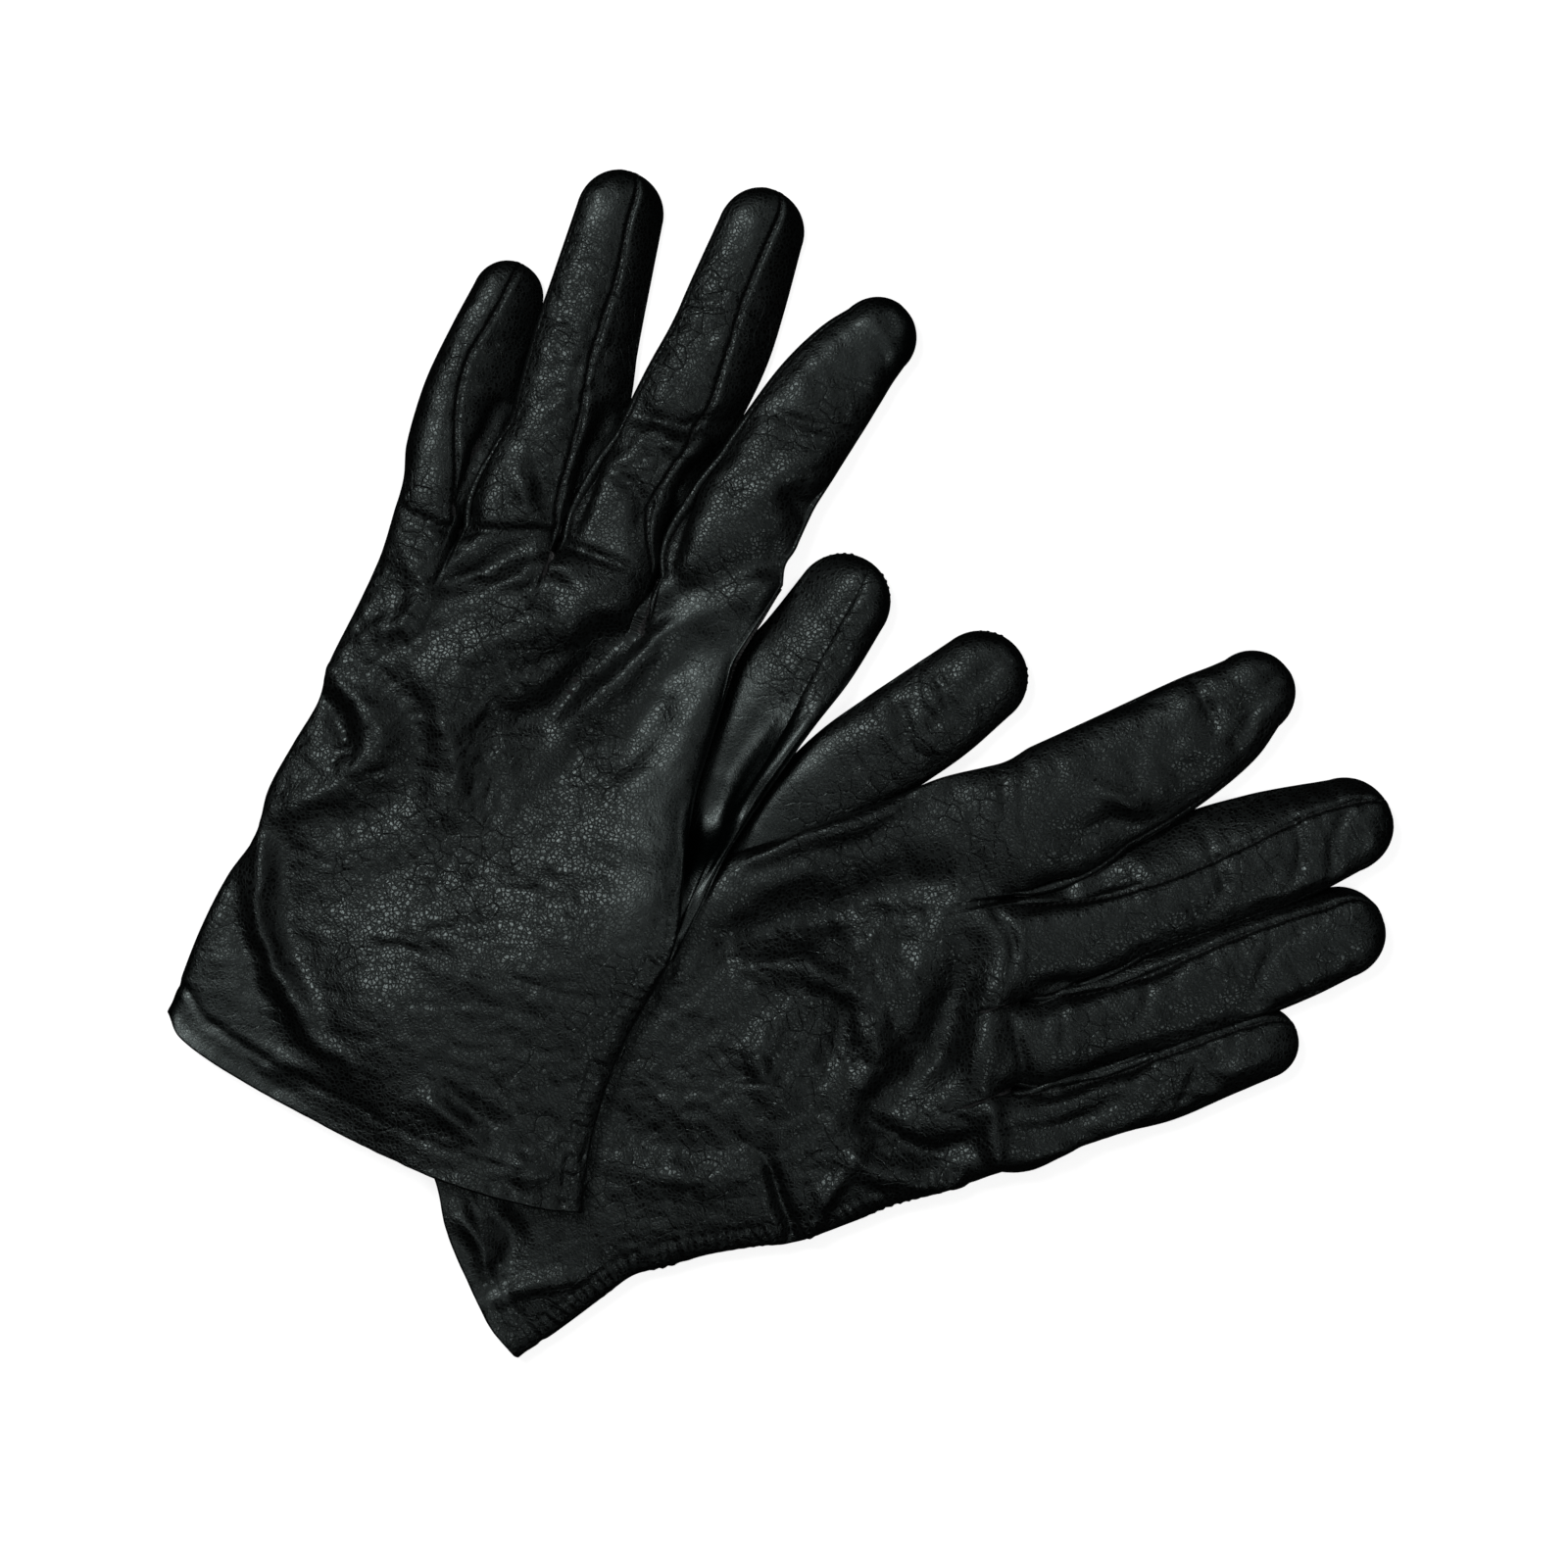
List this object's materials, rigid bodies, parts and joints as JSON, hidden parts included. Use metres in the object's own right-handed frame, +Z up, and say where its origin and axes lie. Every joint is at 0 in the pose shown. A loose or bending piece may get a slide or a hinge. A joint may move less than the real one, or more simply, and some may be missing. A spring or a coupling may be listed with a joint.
{
  "type": "pair of leather gloves",
  "caption": "Pair of plain leather dress gloves, back side up, the left one laid across the cuff of the right one, with fingers and thumbs that fold up.",
  "frame": {"origin": "below the middle of the pair, on the surface it lies on", "axes": "+Z up, +X to the right of the pair as laid out, +Y to its far side, where the left glove's fingers point"},
  "size_m": [0.2932, 0.2844, 0.0253],
  "materials": {
    "black_leather": "fine pebbled grain, softly glossy",
    "lining": "brushed knit",
    "seam_thread": "matt sewing thread"
  },
  "bodies": {
    "right_hand": {"right_hand_back": "black_leather", "right_hand_palm": "black_leather", "right_hand_lining": "lining", "right_side_seam_threads": "seam_thread", "right_thumb_root": "black_leather"},
    "right_little": {"right_little_back": "black_leather", "right_little_palm": "black_leather", "right_little_fourchettes": "black_leather", "right_little_lining": "lining", "right_little_threads": "seam_thread"},
    "right_ring": {"right_ring_back": "black_leather", "right_ring_palm": "black_leather", "right_ring_fourchettes": "black_leather", "right_ring_lining": "lining", "right_ring_threads": "seam_thread"},
    "right_middle": {"right_middle_back": "black_leather", "right_middle_palm": "black_leather", "right_middle_fourchettes": "black_leather", "right_middle_lining": "lining", "right_middle_threads": "seam_thread"},
    "right_index": {"right_index_back": "black_leather", "right_index_palm": "black_leather", "right_index_fourchettes": "black_leather", "right_index_lining": "lining", "right_index_threads": "seam_thread"},
    "right_thumb": {"right_thumb_back": "black_leather", "right_thumb_palm": "black_leather", "right_thumb_lining": "lining", "right_thumb_threads": "seam_thread"},
    "left_hand": {"left_hand_back": "black_leather", "left_hand_palm": "black_leather", "left_hand_lining": "lining", "left_side_seam_threads": "seam_thread", "left_thumb_root": "black_leather"},
    "left_little": {"left_little_back": "black_leather", "left_little_palm": "black_leather", "left_little_fourchettes": "black_leather", "left_little_lining": "lining", "left_little_threads": "seam_thread"},
    "left_ring": {"left_ring_back": "black_leather", "left_ring_palm": "black_leather", "left_ring_fourchettes": "black_leather", "left_ring_lining": "lining", "left_ring_threads": "seam_thread"},
    "left_middle": {"left_middle_back": "black_leather", "left_middle_palm": "black_leather", "left_middle_fourchettes": "black_leather", "left_middle_lining": "lining", "left_middle_threads": "seam_thread"},
    "left_index": {"left_index_back": "black_leather", "left_index_palm": "black_leather", "left_index_fourchettes": "black_leather", "left_index_lining": "lining", "left_index_threads": "seam_thread"},
    "left_thumb": {"left_thumb_back": "black_leather", "left_thumb_palm": "black_leather", "left_thumb_lining": "lining", "left_thumb_threads": "seam_thread"}
  },
  "joints": [
    {"name": "left_glove_lift", "type": "slide", "parent": "right_hand", "child": "left_hand", "axis": [0, 0, 1], "range_m": [0, 0.12]},
    {"name": "right_little_fold", "type": "hinge", "parent": "right_hand", "child": "right_little", "pos_m": [0.05832, -0.08878, 0.0125], "axis": [0.2169, -0.9762, 0], "range_deg": [0, 50]},
    {"name": "right_ring_fold", "type": "hinge", "parent": "right_hand", "child": "right_ring", "pos_m": [0.06232, -0.06828, 0.0125], "axis": [0.277, -0.9609, 0], "range_deg": [0, 50]},
    {"name": "right_middle_fold", "type": "hinge", "parent": "right_hand", "child": "right_middle", "pos_m": [0.06282, -0.04528, 0.0125], "axis": [0.2085, -0.978, 0], "range_deg": [0, 50]},
    {"name": "right_index_fold", "type": "hinge", "parent": "right_hand", "child": "right_index", "pos_m": [0.05882, -0.01728, 0.0125], "axis": [0.2234, -0.9747, 0], "range_deg": [0, 50]},
    {"name": "right_thumb_fold", "type": "hinge", "parent": "right_hand", "child": "right_thumb", "pos_m": [0.01932, 0.00222, 0.009], "axis": [0.6467, -0.7628, 0], "range_deg": [0, 50]},
    {"name": "left_little_fold", "type": "hinge", "parent": "left_hand", "child": "left_little", "pos_m": [-0.08418, 0.06272, 0.0125], "axis": [0.9996, -0.0265, 0], "range_deg": [0, 50]},
    {"name": "left_ring_fold", "type": "hinge", "parent": "left_hand", "child": "left_ring", "pos_m": [-0.06218, 0.05872, 0.0125], "axis": [0.9459, -0.3243, 0], "range_deg": [0, 50]},
    {"name": "left_middle_fold", "type": "hinge", "parent": "left_hand", "child": "left_middle", "pos_m": [-0.03868, 0.05272, 0.0125], "axis": [0.9511, -0.3089, 0], "range_deg": [0, 50]},
    {"name": "left_index_fold", "type": "hinge", "parent": "left_hand", "child": "left_index", "pos_m": [-0.01368, 0.04472, 0.0125], "axis": [0.9095, -0.4158, 0], "range_deg": [0, 50]},
    {"name": "left_thumb_fold", "type": "hinge", "parent": "left_hand", "child": "left_thumb", "pos_m": [-0.00068, 0.01422, 0.01003], "axis": [0.8293, -0.5589, 0], "range_deg": [0, 50]}
  ]
}
